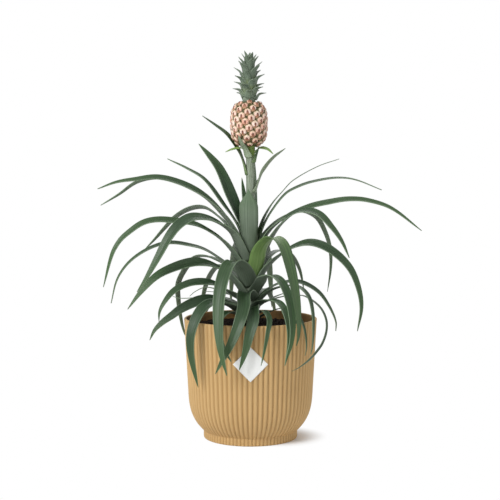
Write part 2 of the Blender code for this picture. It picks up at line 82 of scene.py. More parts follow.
# Leaves: name, heading in degrees, blade width, roll towards the tip, foot height on the trunk,
# and the route as (reach, height) or (reach, height, sideways) points, all in millimetres.
LEAVES = (
    ("leaf_01", 150, 15.0, -32, 214, ((15, 234), (25, 257), (38, 283), (51, 298), (64, 310))),
    ("leaf_02", 174, 6.5, -30, 210, ((15, 226), (27, 244), (48, 272), (67, 284), (88, 294))),
    ("leaf_03", 189, 10.0, -40, 204, ((17, 218), (27, 234), (42, 250), (61, 263), (83, 272),
                                    (100, 275), (120, 273), (140, 270), (159, 263))),
    ("leaf_04", 166, 8.0, 40, 199, ((17, 214), (29, 232), (54, 256), (85, 271), (104, 274),
                                   (126, 269), (146, 256), (167, 244))),
    ("leaf_05", 156, 9.0, 30, 194, ((18, 210), (29, 225), (42, 236), (56, 242), (72, 240),
                                   (89, 231), (102, 219), (115, 206), (127, 195))),
    ("leaf_06", 210, 15.0, -30, 186, ((15, 200), (24, 217), (42, 229), (66, 234), (82, 228),
                                    (94, 216), (108, 194), (121, 174), (131, 161))),
    ("leaf_07", 194, 10.0, -40, 180, ((19, 195), (30, 208), (42, 217), (60, 226), (83, 230),
                                    (100, 231), (114, 228), (128, 219), (138, 210), (146, 196),
                                    (155, 163))),
    ("leaf_08", 180, 7.0, -30, 167, ((18, 177), (30, 187), (49, 199), (67, 204), (83, 206),
                                   (99, 203), (117, 194), (131, 182), (141, 166), (147, 142))),
    ("leaf_09", 203, 12.5, -50, 152, ((18, 164), (28, 175), (38, 181), (53, 186), (67, 187),
                                    (88, 182), (105, 174), (121, 159), (135, 142))),
    ("leaf_10", 148, 9.0, 20, 163, ((18, 173), (29, 180), (41, 185), (55, 189), (70, 187),
                                   (82, 176), (93, 158), (93, 140), (90, 121), (85, 104),
                                   (78, 95))),
    ("leaf_11", 214, 10.0, -45, 141, ((19, 150), (32, 158), (45, 165), (61, 168), (77, 167),
                                   (93, 161), (103, 152), (110, 141), (111, 130))),
    ("leaf_12", 192, 12.0, -60, 134, ((20, 140), (30, 144), (40, 147), (50, 147), (61, 144),
                                    (74, 138), (84, 131), (94, 124), (102, 116), (107, 106))),
    ("leaf_13", 224, 13.0, -25, 127, ((19, 134), (35, 143), (52, 147), (66, 143), (76, 133),
                                    (83, 118), (84, 103), (81, 86), (74, 62))),
    ("leaf_14", 171, 5.0, 0, 139, ((25, 145), (40, 148), (56, 147), (76, 146), (84, 148))),
    ("leaf_15", 161, 4.5, 0, 144, ((25, 151), (40, 156), (52, 157), (63, 152), (69, 147))),
    ("leaf_16", 181, 2.2, 0, 148, ((25, 152), (38, 154), (50, 155))),
    ("leaf_18", 262, 20.0, 0, 197, ((13, 215), (15.5, 232), (15.5, 249), (14, 262))),
    ("leaf_19", 247, 17.0, 0, 160, ((15, 170), (24, 180), (38, 188), (51, 188), (65, 179),
                                    (77, 161), (88, 134, 3), (96, 106, 9), (99, 82, 17))),
    ("leaf_20", 262, 14.0, 0, 146, ((22, 153), (35, 157), (49, 154), (62, 146, 2),
                                    (75, 133, 0), (82, 113, -7), (85, 95, -16), (87, 81, -23))),
    ("leaf_21", 272, 14.0, 0, 134, ((25, 140), (42, 143), (57, 140), (69, 132), (75, 118, -4),
                                    (77, 102, -8), (78, 84, -14))),
    ("leaf_22", 243, 11.0, 0, 123.5, ((22, 130), (40, 136), (56, 137), (70, 132), (78, 121, 4),
                                    (81, 105, 12), (81, 93, 20))),
    ("leaf_23", 286, 6.5, 0, 129, ((25, 134), (42, 139), (57, 139), (69, 133), (76, 121, -4),
                                   (79, 105, -8), (80, 89, -12))),
    ("leaf_24", 302, 16.0, 0, 170, ((16, 185), (24, 198, -3), (38, 208, -6), (56, 214, -8),
                                    (72, 209, -8), (84, 192, -8), (92, 165, -6), (97, 138, -5),
                                    (99, 120, -6), (98, 110, -8))),
    ("leaf_25", 297, 11.0, 0, 153, ((22, 163), (36, 171, -4), (54, 175, -2), (68, 169, 1),
                                    (79, 153, 3), (86, 130, 3), (89, 112, 0), (91, 98, -6),
                                    (92, 90, -9))),
    ("leaf_26", 289, 9.0, 0, 137, ((24, 145, 3), (40, 149, 7), (57, 148, 11), (70, 140, 13),
                                   (78, 125, 14), (82, 108, 12), (83, 92, 8))),
    ("leaf_27", 325, 3.6, 0, 140, ((25, 147, 2), (42, 152, 6), (58, 153, 10), (71, 149, 9),
                                   (82, 141, 9), (88, 130, 9), (90, 119, 6), (92, 108, -5),
                                   (94, 101, -20), (97, 97, -35), (100, 94, -52),
                                   (102, 92, -66), (103, 91, -78))),
    ("leaf_28", 323, 7.0, 0, 143, ((25, 156), (45, 163), (62, 163), (74, 154), (79, 138),
                                   (80, 120), (79, 104), (77, 95))),
    ("leaf_29", 315, 5.0, 0, 126, ((30, 136), (50, 141), (66, 137), (75, 127), (79, 115),
                                   (80, 103), (78, 95))),
    ("leaf_30", 25, 4.5, -20, 212, ((15, 230), (25, 246), (37, 259), (50, 271), (80, 286),
                                  (106, 294))),
    ("leaf_31", 8, 5.5, 20, 207, ((14, 223), (22, 238), (37, 257), (51, 265), (66, 270),
                                 (91, 274), (112, 272), (141, 261))),
    ("leaf_32", 352, 9.0, 40, 192, ((14, 207), (22, 220), (39, 234), (62, 244), (83, 249),
                                   (102, 252), (122, 251), (147, 243), (178, 220))),
    ("leaf_33", 333, 13.0, 25, 179, ((17, 195), (26, 212), (38, 228), (56, 240), (77, 238),
                                    (93, 224), (104, 210), (112, 194))),
    ("leaf_34", 42, 7.0, -25, 197, ((18, 210), (43, 229), (73, 237), (98, 230), (112, 213),
                                  (120, 194), (121, 172), (116, 146))),
    ("leaf_35", 343, 11.0, 45, 162, ((17, 177), (31, 192), (49, 203), (66, 207), (85, 201),
                                    (105, 184), (115, 164), (119, 142), (115, 117))),
    ("leaf_36", 358, 6.0, 40, 149, ((20, 158), (34, 164), (52, 165), (71, 155), (83, 139),
                                   (90, 123), (90, 113))),
    ("leaf_37", 25, 4.0, 0, 138, ((18, 143), (30, 148), (44, 152))),
    ("leaf_38", 55, 8.0, 0, 166, ((18, 177), (30, 187), (50, 194), (75, 190), (95, 172),
                                  (105, 148))),
    ("leaf_39", 78, 11.0, 0, 176, ((17, 188), (32, 200), (55, 204), (80, 196), (100, 176),
                                   (112, 150), (118, 124))),
    ("leaf_40", 101, 12.0, 0, 171, ((17, 184), (34, 197), (56, 202), (82, 194), (102, 175),
                                    (114, 150), (119, 126))),
    ("leaf_41", 122, 9.0, 0, 152, ((20, 163), (38, 174), (58, 178), (78, 170), (94, 153),
                                   (103, 132), (106, 112))),
    ("leaf_42", 72, 8.0, 0, 138, ((22, 148), (40, 153), (58, 150), (74, 141), (86, 128),
                                  (92, 112))),
    ("leaf_43", 95, 9.0, 0, 146, ((20, 156), (38, 163), (58, 162), (76, 150), (88, 134),
                                  (95, 116))),
    ("leaf_44", 128, 6.0, 0, 130, ((22, 138), (40, 143), (58, 142), (72, 134), (82, 122),
                                   (87, 108))),
    ("leaf_45", 82, 11.0, 0, 204, ((14, 225), (18, 250), (22, 275), (26, 298))),
    ("leaf_17", 116, 7.0, 0, 221, ((10, 236), (15, 254), (21, 274))),
)

# Bracts on the fruit stalk, in the same form.
BRACTS = (
    ("bract_1", 172, 6.5, 0, 277, ((8, 290), (13, 303), (24, 319), (38, 330), (51, 339))),
    ("bract_2", 202, 3.6, 0, 300, ((10, 305), (20, 304), (28, 301))),
    ("bract_3", 235, 6.0, 0, 295, ((9, 303), (16, 310), (22, 318))),
    ("bract_4", 350, 5.0, 0, 300, ((10, 305), (18, 304), (24, 299))),
    ("bract_5", 318, 3.6, 0, 290, ((8, 298), (12, 307))),
    ("bract_6", 15, 9.0, 0, 258, ((9, 270), (14, 281), (25, 295), (38, 305))),
)

# ---------------------------------------------------------------- shader helper

class Value:
    """A socket whose arithmetic adds Math nodes."""
    def __init__(self, paint, socket):
        self.paint, self.socket = paint, socket

    def _math(self, operation, *values):
        return self.paint.node("ShaderNodeMath", {"operation": operation}, values)

    def __add__(self, other):
        return self._math("ADD", self, other)

    def __radd__(self, other):
        return self._math("ADD", other, self)

    def __sub__(self, other):
        return self._math("SUBTRACT", self, other)

    def __rsub__(self, other):
        return self._math("SUBTRACT", other, self)

    def __mul__(self, other):
        return self._math("MULTIPLY", self, other)

    def __rmul__(self, other):
        return self._math("MULTIPLY", other, self)

    def __pow__(self, other):
        return self._math("POWER", self, other)

    def __abs__(self):
        return self._math("ABSOLUTE", self)


class Paint:
    """One Principled material and the nodes that feed it."""
    def __init__(self, name, **constants):
        self.material = bpy.data.materials.new(name)
        self.material.use_nodes = True
        self.tree = self.material.node_tree
        self.shader = self.tree.nodes["Principled BSDF"]
        for socket, value in constants.items():
            self.shader.inputs[socket.replace("_", " ")].default_value = value

    def node(self, kind, settings=None, values=(), output=0):
        made = self.tree.nodes.new(kind)
        for key, value in (settings or {}).items():
            if key == "stops":
                ramp = made.color_ramp
                while len(ramp.elements) < len(value):
                    ramp.elements.new(0.5)
                for element, (place, colour) in zip(ramp.elements, value):
                    element.position = place
                    element.color = (*colour, 1.0)
            else:
                setattr(made, key, value)
        pairs = values.items() if isinstance(values, dict) else enumerate(values)
        for key, value in pairs:
            if isinstance(value, Value):
                self.tree.links.new(value.socket, made.inputs[key])
            else:
                made.inputs[key].default_value = value
        return Value(self, made.outputs[output])

    def coordinates(self, kind="Object", scale=(1.0, 1.0, 1.0)):
        source = self.node("ShaderNodeTexCoord", output=kind)
        return self.node("ShaderNodeMapping", {}, {"Vector": source, "Scale": scale})

    def noise(self, vector, scale, detail=3.0, roughness=0.5):
        return self.node("ShaderNodeTexNoise", {}, {"Vector": vector, "Scale": scale,
                                                    "Detail": detail, "Roughness": roughness})

    def cells(self, vector, scale):
        return self.node("ShaderNodeTexVoronoi", {}, {"Vector": vector, "Scale": scale})

    def split(self, vector):
        made = self.tree.nodes.new("ShaderNodeSeparateXYZ")
        self.tree.links.new(vector.socket, made.inputs[0])
        return [Value(self, socket) for socket in made.outputs]

    def step(self, value, low, high):
        return self.node("ShaderNodeMapRange", {"interpolation_type": "SMOOTHSTEP"},
                         {"Value": value, "From Min": low, "From Max": high})

    def mix(self, factor, first, second):
        return self.node("ShaderNodeMix", {"data_type": "RGBA"},
                         {"Factor": factor, 6: colour4(first), 7: colour4(second)}, output=2)

    def ramp(self, value, *stops):
        return self.node("ShaderNodeValToRGB", {"stops": stops}, {"Fac": value})

    def bump(self, height, strength, distance):
        return self.node("ShaderNodeBump", {}, {"Height": height, "Strength": strength,
                                                "Distance": distance})

    def set(self, **links):
        for socket, value in links.items():
            self.tree.links.new(value.socket, self.shader.inputs[socket.replace("_", " ")])
        return self.material


def colour4(colour):
    return colour if isinstance(colour, Value) else (*colour, 1.0)


# ---------------------------------------------------------------- materials

def leaf_upper():
    """Satin dark green with long faint stripes, pale edges and a pale clasping foot."""
    paint = Paint("leaf_upper", Roughness=0.4, Specular_IOR_Level=0.42)
    across, along, _ = paint.split(paint.coordinates("UV"))
    stripes = paint.noise(paint.coordinates("UV", (26.0, 0.7, 1.0)), 1.0, 3.0)
    patches = paint.noise(paint.coordinates("Object"), 26.0, 2.0)
    tint = paint.node("ShaderNodeObjectInfo", output="Random")
    green = paint.ramp(stripes * 0.6 + patches * 0.4, (0.32, (0.010, 0.026, 0.011)),
                       (0.50, (0.022, 0.052, 0.021)), (0.70, (0.048, 0.096, 0.040)))
    bright = paint.ramp(stripes, (0.3, (0.035, 0.085, 0.022)), (0.7, (0.085, 0.175, 0.050)))
    toward_tip = paint.step(along, 0.5, 1.0)
    colour = paint.mix(toward_tip * 0.55, green, bright)
    colour = paint.mix(tint * 0.35, colour, bright)
    foot = 1.0 - paint.step(along, 0.02, 0.22)
    colour = paint.mix(foot * 0.25, colour, (0.16, 0.22, 0.11))
    rim = paint.step(abs(across - 0.5), 0.455, 0.5)
    colour = paint.mix(rim * 0.75, colour, (0.22, 0.31, 0.19))
    rough = 0.34 + stripes * 0.16
    bump = paint.bump(stripes, 0.35, 0.0006)
    return paint.set(Base_Color=colour, Roughness=rough, Normal=bump)


def leaf_under():
    """Grey-green waxy underside with fine pale lines along the leaf."""
    paint = Paint("leaf_under", Roughness=0.55, Specular_IOR_Level=0.35)
    across, along, _ = paint.split(paint.coordinates("UV"))
    lines = paint.noise(paint.coordinates("UV", (46.0, 0.5, 1.0)), 1.0, 2.0)
    patches = paint.noise(paint.coordinates("Object"), 45.0, 3.0)
    grey = paint.ramp(lines * 0.75 + patches * 0.25, (0.34, (0.085, 0.115, 0.078)),
                      (0.52, (0.155, 0.195, 0.145)), (0.68, (0.245, 0.290, 0.232)))
    green = paint.ramp(lines, (0.3, (0.060, 0.115, 0.052)), (0.7, (0.15, 0.22, 0.125)))
    tint = paint.node("ShaderNodeObjectInfo", output="Random")
    colour = paint.mix(paint.step(along, 0.45, 1.0) * 0.7 + tint * 0.2, grey, green)
    rim = paint.step(abs(across - 0.5), 0.46, 0.5)
    colour = paint.mix(rim * 0.6, colour, (0.30, 0.38, 0.26))
    return paint.set(Base_Color=colour, Roughness=0.5 + patches * 0.14,
                     Normal=paint.bump(lines, 0.4, 0.0005))


def young_leaf_skin(name, foot_shades, tip_shades):
    """A finely lined skin that runs from its foot's two shades to its tip's two shades."""
    paint = Paint(name, Roughness=0.5)
    across, along, _ = paint.split(paint.coordinates("UV"))
    lines = paint.noise(paint.coordinates("UV", (14.0, 0.8, 1.0)), 1.0, 2.0)
    foot = paint.ramp(lines, (0.3, foot_shades[0]), (0.7, foot_shades[1]))
    tip = paint.ramp(lines, (0.3, tip_shades[0]), (0.7, tip_shades[1]))
    colour = paint.mix(paint.step(along, 0.1, 0.55), foot, tip)
    return paint.set(Base_Color=colour, Normal=paint.bump(lines, 0.3, 0.0004))


def planter_plastic():
    """Matt mustard yellow moulding, with painted shade that deepens it in its grooves and on the
    wall above the soil.
    """
    paint = Paint("planter_plastic", Roughness=0.6, Specular_IOR_Level=0.35)
    body = paint.coordinates("Object")
    cloud = paint.noise(body, 14.0, 2.0)
    grain = paint.noise(body, 2600.0, 2.0)
    x, y, height = paint.split(body)
    turn = paint.node("ShaderNodeMath", {"operation": "ARCTAN2"}, (y, x))
    phase = paint.node("ShaderNodeMath", {"operation": "FRACT"}, (turn * (RIBS / math.tau),))
    groove = abs(phase * 2.0 - 1.0) ** 2.4
    colour = paint.ramp(cloud, (0.35, (0.575, 0.375, 0.160)), (0.65, (0.615, 0.405, 0.178)))
    # Painted shade: the grooves are mixed towards a deep mustard to stand in for the shade that
    # lies in them.
    colour = paint.mix(groove * 0.6, colour, (0.375, 0.215, 0.075))
    radius = (x * x + y * y) ** 0.5
    bore = (RIM_RADIUS - WALL) * MM
    rim = PLANTER_HEIGHT * MM
    # Painted shade: the inner wall just above the soil is mixed towards a dark brown-gold to stand
    # in for the shade inside the rim.
    inner = 1.0 - paint.step(radius, bore - 0.0002, bore + 0.0008)
    inner = inner * paint.step(height, rim - 0.015, rim - 0.011)
    colour = paint.mix(inner * 0.85, colour, (0.16, 0.075, 0.012))
    return paint.set(Base_Color=colour, Roughness=0.54 + cloud * 0.14,
                     Normal=paint.bump(grain, 0.25, 0.0001))


def soil_crumbs():
    """Nearly black crumbs with brown specks."""
    paint = Paint("soil_crumbs", Roughness=0.95, Specular_IOR_Level=0.2)
    body = paint.coordinates("Object")
    fine = paint.noise(body, 700.0, 4.0, 0.7)
    specks = paint.cells(body, 520.0)
    colour = paint.ramp(fine, (0.36, (0.004, 0.003, 0.0025)), (0.52, (0.017, 0.010, 0.007)),
                        (0.66, (0.060, 0.036, 0.024)))
    return paint.set(Base_Color=colour, Normal=paint.bump(fine + specks, 0.8, 0.0012))


def fruit_skin():
    """Eyes of the fruit: UV x runs out from an eye's middle, UV y is its height on the eye."""
    paint = Paint("fruit_skin", Roughness=0.5, Specular_IOR_Level=0.4)
    out, up, _ = paint.split(paint.coordinates("UV"))
    body = paint.coordinates("Object")
    mottle = paint.noise(body, 420.0, 3.0)
    blush = paint.noise(body, 75.0, 1.0)
    pad = paint.ramp(mottle * 0.5 + blush * 0.5, (0.35, (0.70, 0.32, 0.22)),
                     (0.50, (0.85, 0.55, 0.43)), (0.62, (0.92, 0.76, 0.67)))
    seam = paint.ramp(mottle, (0.35, (0.060, 0.050, 0.014)), (0.6, (0.155, 0.140, 0.045)))
    cream = paint.mix(mottle, (0.62, 0.60, 0.36), (0.80, 0.70, 0.52))
    colour = paint.mix(paint.step(up, 0.55, 0.9) * 0.6, pad, cream)
    colour = paint.mix(paint.step(out, 0.66, 0.95), colour, seam)
    return paint.set(Base_Color=colour, Roughness=0.42 + mottle * 0.2,
                     Normal=paint.bump(mottle, 0.4, 0.0005))


def spike_skin():
    """Red-brown spikes that darken towards their tips."""
    paint = Paint("spike_skin", Roughness=0.55)
    _, along, _ = paint.split(paint.coordinates("UV"))
    grain = paint.noise(paint.coordinates("Object"), 500.0, 2.0)
    colour = paint.ramp(along + (grain - 0.5) * 0.3, (0.1, (0.50, 0.30, 0.17)),
                        (0.5, (0.30, 0.105, 0.060)), (0.95, (0.10, 0.035, 0.022)))
    return paint.set(Base_Color=colour)


def stalk_skin():
    """Waxy grey-green stalk, fresh green just under the fruit."""
    paint = Paint("stalk_skin", Roughness=0.55)
    body = paint.coordinates("Object")
    _, _, height = paint.split(body)
    streak = paint.noise(paint.coordinates("Object", (1.0, 1.0, 0.08)), 900.0, 2.0)
    waxy = paint.ramp(streak, (0.35, (0.150, 0.195, 0.125)), (0.65, (0.29, 0.335, 0.26)))
    green = paint.ramp(streak, (0.35, (0.13, 0.22, 0.035)), (0.65, (0.23, 0.33, 0.075)))
    top = STALK_TOP * MM
    colour = paint.mix(paint.step(height, top - 0.0135, top - 0.0075), waxy, green)
    return paint.set(Base_Color=colour, Normal=paint.bump(streak, 0.3, 0.0004))


def crown_skin():
    """Grey-green crown leaves, with yellow-green feet above the lowest tiers."""
    paint = Paint("crown_skin", Roughness=0.5, Specular_IOR_Level=0.35)
    across, along, _ = paint.split(paint.coordinates("UV"))
    lines = paint.noise(paint.coordinates("UV", (12.0, 0.8, 1.0)), 1.0, 2.0)
    tip = paint.ramp(lines, (0.3, (0.085, 0.125, 0.080)), (0.55, (0.155, 0.205, 0.145)),
                     (0.75, (0.26, 0.315, 0.245)))
    foot = paint.ramp(lines, (0.3, (0.21, 0.29, 0.075)), (0.7, (0.40, 0.47, 0.17)))
    _, _, height = paint.split(paint.coordinates("Object"))
    base = CROWN_BASE * MM
    above = paint.step(height, base + 0.0037, base + 0.0177)
    inner = (1.0 - paint.step(along, 0.08, 0.55)) * above
    colour = paint.mix(inner * 0.8, tip, foot)
    rim = paint.step(abs(across - 0.5), 0.40, 0.5)
    colour = paint.mix(rim * 0.5, colour, (0.30, 0.36, 0.27))
    return paint.set(Base_Color=colour, Normal=paint.bump(lines, 0.35, 0.0004))


def label_paper():
    """Plain white paper, very slightly fibrous."""
    paint = Paint("label_paper", Roughness=0.5)
    fibre = paint.noise(paint.coordinates("Object"), 900.0, 3.0)
    colour = paint.ramp(fibre, (0.3, (0.93, 0.95, 0.93)), (0.7, (0.97, 0.98, 0.97)))
    return paint.set(Base_Color=colour, Normal=paint.bump(fibre, 0.1, 0.0001))


# ---------------------------------------------------------------- geometry helpers

def smoothstep(low, high, value):
    t = min(max((value - low) / (high - low), 0.0), 1.0)
    return t * t * (3.0 - 2.0 * t)


def finish(name, shape, materials, replaced=()):
    """Scale a shape to metres and put it in the scene as a piece that rides on the body."""
    bmesh.ops.scale(shape, vec=(MM, MM, MM), verts=shape.verts)
    mesh = bpy.data.meshes.new(name)
    shape.to_mesh(mesh)
    shape.free()
    mesh.shade_smooth()
    for material in materials:
        mesh.materials.append(material)
    piece = bpy.data.objects.new(name, mesh)
    bpy.context.collection.objects.link(piece)
    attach(piece, "root")
    if replaced:
        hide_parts(*replaced)
    return piece


def turned(profile, segments):
    """A profile of (radius, height) points spun round the vertical axis."""
    shape = bmesh.new()
    ring = [shape.verts.new((radius, 0.0, height)) for radius, height in profile]
    edges = [shape.edges.new(pair) for pair in zip(ring, ring[1:])]
    bmesh.ops.spin(shape, geom=ring + edges, cent=(0, 0, 0), axis=(0, 0, 1),
                   angle=math.tau, steps=segments, use_merge=True)
    bmesh.ops.remove_doubles(shape, verts=shape.verts, dist=0.001)
    bmesh.ops.recalc_face_normals(shape, faces=shape.faces)
    return shape


def stem_radius(height):
    slim = smoothstep(TRUNK_TOP, STALK_START, height)
    return TRUNK_RADIUS + (STALK_RADIUS - TRUNK_RADIUS) * slim


def smooth_route(points, stations):
    """Evenly spaced stations on a smooth curve through the points."""
    fine = []
    for i in range(len(points) - 1):
        before = points[max(i - 1, 0)]
        after = points[min(i + 2, len(points) - 1)]
        span = (points[i + 1] - points[i]).length
        lead = (points[i + 1] - before).normalized() * span / 3.0
        trail = (after - points[i]).normalized() * span / 3.0
        fine += interpolate_bezier(points[i], points[i] + lead, points[i + 1] - trail,
                                   points[i + 1], 17)[:-1]
    fine.append(points[-1])
    lengths = [0.0]
    for first, second in zip(fine, fine[1:]):
        lengths.append(lengths[-1] + (second - first).length)
    evenly, k = [], 0
    for i in range(stations):
        target = lengths[-1] * i / (stations - 1)
        while k < len(fine) - 2 and lengths[k + 1] < target:
            k += 1
        part = (target - lengths[k]) / max(lengths[k + 1] - lengths[k], 1e-9)
        evenly.append(fine[k].lerp(fine[k + 1], min(part, 1.0)))
    return evenly


def width_along(part, upright):
    """A blade's width at a part of its length, as a share of its full width."""
    if upright:
        return (0.62 + 0.38 * smoothstep(0.0, 0.5, part)) * (1.0 - smoothstep(0.72, 1.04, part))
    foot = 1.0 + 0.42 * (1.0 - smoothstep(0.03, 0.30, part))
    return foot * max(1.0 - part ** 2.2, 0.0) ** 0.8


def strip(heading, width, roll, foot, route, stations=60, strips=10, upright=False,
          seat=None, centre=(0.0, 0.0), deepest=None, ripple=0.0):
    """A flat strip bent along a leaf's route, channelled across, with UVs across and along."""
    toward = Vector((math.cos(math.radians(heading)), math.sin(math.radians(heading)), 0.0))
    across = Vector((-toward.y, toward.x, 0.0))
    seat = stem_radius(foot) + GAP if seat is None else seat
    points = [toward * seat + Vector((0, 0, foot))]
    for reach, height, *sideways in route:
        points.append(toward * reach + across * sum(sideways) + Vector((0, 0, height)))
    line = smooth_route(points, stations + 1)
    shape = bmesh.new()
    shape.loops.layers.uv.new("UVMap")
    bmesh.ops.create_grid(shape, x_segments=strips, y_segments=stations, size=0.5, calc_uvs=True)
    phase = random.uniform(0.0, 9.0)
    for vert in shape.verts:
        part = vert.co.y + 0.5
        k = min(max(round(part * stations), 0), stations)
        share = 2.0 * vert.co.x
        tangent = (line[min(k + 1, stations)] - line[max(k - 1, 0)]).normalized()
        side = (across - tangent * across.dot(tangent)).normalized()
        twist = math.radians(roll) * smoothstep(0.1, 0.5, part)
        side = Matrix.Rotation(twist, 3, tangent) @ side
        inward = tangent.cross(side)
        distance = line[k].xy.length
        open_bend = max(0.85 * width, 9.0) if deepest is None else deepest
        bend = min(distance / max(tangent.z, 0.35), open_bend)
        half = max(0.5 * width * width_along(part, upright), 0.15)
        angle = share * half / bend
        wave = ripple * abs(share) ** 3 * math.sin(9.0 * part + phase + share) * half * 0.10
        crease = -0.05 * half * math.exp(-(share / 0.10) ** 2)
        normal = inward * math.cos(angle) - side * math.sin(angle)
        vert.co = (line[k] + side * (bend * math.sin(angle))
                   + inward * (bend * (1.0 - math.cos(angle))) + normal * (wave + crease)
                   + Vector((*centre, 0.0)))
    return shape


def add_thickness(piece, thickness):
    """Give a strip its thickness, with the underside in the second material."""
    solid = piece.modifiers.new("thickness", "SOLIDIFY")
    solid.thickness = thickness * MM
    solid.offset = 0.0
    solid.use_even_offset = True
    solid.material_offset = 1
    solid.material_offset_rim = 1


# ---------------------------------------------------------------- pieces

def corner_outline():
    """The planter's rounded lower corner, from the foot's neck to the waist."""
    start = Vector((NECK_RADIUS, FOOT_HEIGHT))
    end = Vector((WAIST_RADIUS, WAIST_HEIGHT))
    wall = Vector((RIM_RADIUS - WAIST_RADIUS, PLANTER_HEIGHT - WAIST_HEIGHT)).normalized()
    out = Vector((1.0, 0.95)).normalized()
    return [tuple(p) for p in interpolate_bezier(start, start + out * 13.0, end - wall * 17.0,
                                                 end, 14)]


def outer_radius(height):
    part = (height - WAIST_HEIGHT) / (PLANTER_HEIGHT - WAIST_HEIGHT)
    return WAIST_RADIUS + (RIM_RADIUS - WAIST_RADIUS) * part


def make_planter():
    outside = [(0.0, 0.0), (FOOT_RADIUS - 1.5, 0.0), (FOOT_RADIUS - 0.4, 0.4), (FOOT_RADIUS, 1.5),
               (FOOT_RADIUS, FOOT_HEIGHT - 1.2), (FOOT_RADIUS, FOOT_HEIGHT - 0.4)]
    outside += corner_outline()
    outside += [(outer_radius(h), h) for h in (60.0, 80.0, 100.0, 118.0, PLANTER_HEIGHT - 2.2)]
    rim = []
    for i in range(9):
        turn = math.radians(180.0 * i / 8)
        rim.append((RIM_RADIUS - WALL / 2 + RIM_ROUNDING * math.cos(turn),
                    PLANTER_HEIGHT - RIM_ROUNDING + RIM_ROUNDING * math.sin(turn)))
    inside = [(outer_radius(h) - WALL, h) for h in (118.0, 100.0, 60.0, WAIST_HEIGHT)]
    inside += [(NECK_RADIUS - WALL, FOOT_HEIGHT), (NECK_RADIUS - 2 * WALL, FLOOR), (0.0, FLOOR)]
    shape = turned(outside + rim + inside, RIBS * RIB_STEPS)
    for vert in shape.verts:
        radius, height = vert.co.xy.length, vert.co.z
        if radius < 30.0:
            continue
        wall = outer_radius(height) - 0.9 if height > WAIST_HEIGHT else NECK_RADIUS - 1.3
        if radius <= wall:
            continue
        phase = (math.atan2(vert.co.y, vert.co.x) * RIBS / math.tau) % 1.0
        groove = abs(2.0 * phase - 1.0) ** 2.2
        depth = RIB_DEPTH * groove * (1.0 - 0.75 * smoothstep(PLANTER_HEIGHT - 1.2,
                                                              PLANTER_HEIGHT, height))
        if height < FOOT_HEIGHT:
            depth *= 0.6
        vert.co.xy *= (radius - depth) / radius
    finish("planter_ribbed", shape, [planter_plastic()], ["planter"])


def soil_height(share):
    """The height of the soil at a share of the way from its middle to its edge."""
    drop = SOIL_CROWN_HEIGHT - SOIL_EDGE_HEIGHT
    return SOIL_CROWN_HEIGHT - drop * smoothstep(0.1, 1.0, share)


def make_soil(material):
    edge = outer_radius(SOIL_EDGE_HEIGHT) - WALL - GAP
    rings = [(edge * i / SOIL_RINGS, soil_height(i / SOIL_RINGS)) for i in range(SOIL_RINGS + 1)]
    rings += [(edge, 114.0), (58.0, 113.6), (42.0, 5.5), (0.0, 5.0)]
    shape = turned(rings, 180)
    for vert in shape.verts:
        if vert.co.z > 116.0:
            rough = noise.noise(vert.co * 0.45) * 0.9 + noise.noise(vert.co * 1.1) * 0.6
            vert.co.z += rough * (1.0 if vert.co.xy.length < edge - 0.5 else 0.3)
    finish("soil_bed", shape, [material], ["soil"])
    crumbs = bmesh.new()
    for _ in range(SOIL_CRUMBS):
        turn = random.uniform(0.0, math.tau)
        radius = math.sqrt(random.uniform(0.02, 0.97)) * edge
        size = random.uniform(0.35, 1.25) ** 1.3
        lift = soil_height(radius / edge)
        radius = min(radius, edge - 1.6 * size)
        place = Matrix.Translation((radius * math.cos(turn), radius * math.sin(turn),
                                    lift + 0.3 * size))
        place @= Matrix.Rotation(random.uniform(0, math.pi), 4, "X")
        place @= Matrix.Rotation(random.uniform(0, math.pi), 4, "Z")
        place @= Matrix.Diagonal((size * random.uniform(0.8, 1.7), size, size * 0.8, 1.0))
        bmesh.ops.create_icosphere(crumbs, subdivisions=1, radius=1.0, matrix=place)
    finish("soil_crumb_layer", crumbs, [material])


def make_grow_pot():
    """The hidden nursery pot keeps its shape and gets a black plastic finish."""
    paint = Paint("nursery_pot_plastic", Roughness=0.45)
    grain = paint.noise(paint.coordinates("Object"), 300.0, 2.0)
    colour = paint.ramp(grain, (0.3, (0.010, 0.010, 0.011)), (0.7, (0.016, 0.016, 0.017)))
    material = paint.set(Base_Color=colour, Normal=paint.bump(grain, 0.2, 0.0002))
    pot = bpy.data.objects["grow_pot"]
    for slot in pot.material_slots:
        slot.link = "OBJECT"
        slot.material = material


def make_stem():
    heights = [84.0 + 6.0 * i for i in range(20)] + [202.0 + 4.0 * i for i in range(11)]
    profile = [(0.0, 81.0), (5.0, 81.0)] + [(stem_radius(h), h) for h in heights]
    for joint in (258.0, 277.0, 295.0):
        profile += [(STALK_RADIUS - 0.25, joint - 4.0), (STALK_RADIUS - 0.1, joint - 1.2),
                    (STALK_RADIUS + 0.15, joint), (STALK_RADIUS - 0.2, joint + 1.0)]
    profile += [(STALK_RADIUS, STALK_TOP), (STALK_RADIUS, STALK_TOP + 2.5), (0.0, STALK_TOP + 2.5)]
    finish("fruit_stalk", turned(profile, 48), [stalk_skin()], ["stem"])


def make_leaves(upper, under):
    fresh = young_leaf_skin("leaf_fresh_skin", ((0.16, 0.29, 0.075), (0.28, 0.42, 0.15)),
                       ((0.022, 0.055, 0.018), (0.075, 0.140, 0.045)))
    for name, heading, width, roll, foot, route in LEAVES:
        fuller = width * (1.10 if width < 16.0 else 1.03)
        shape = strip(heading, fuller, roll, foot, route, upright=name == "leaf_18",
                      stations=64, strips=12, ripple=0.5)
        skins = [fresh, fresh] if name == "leaf_24" else [under, upper]
        piece = finish(name + "_blade", shape, skins, [name])
        add_thickness(piece, 0.9 if width > 5.0 else 0.6)


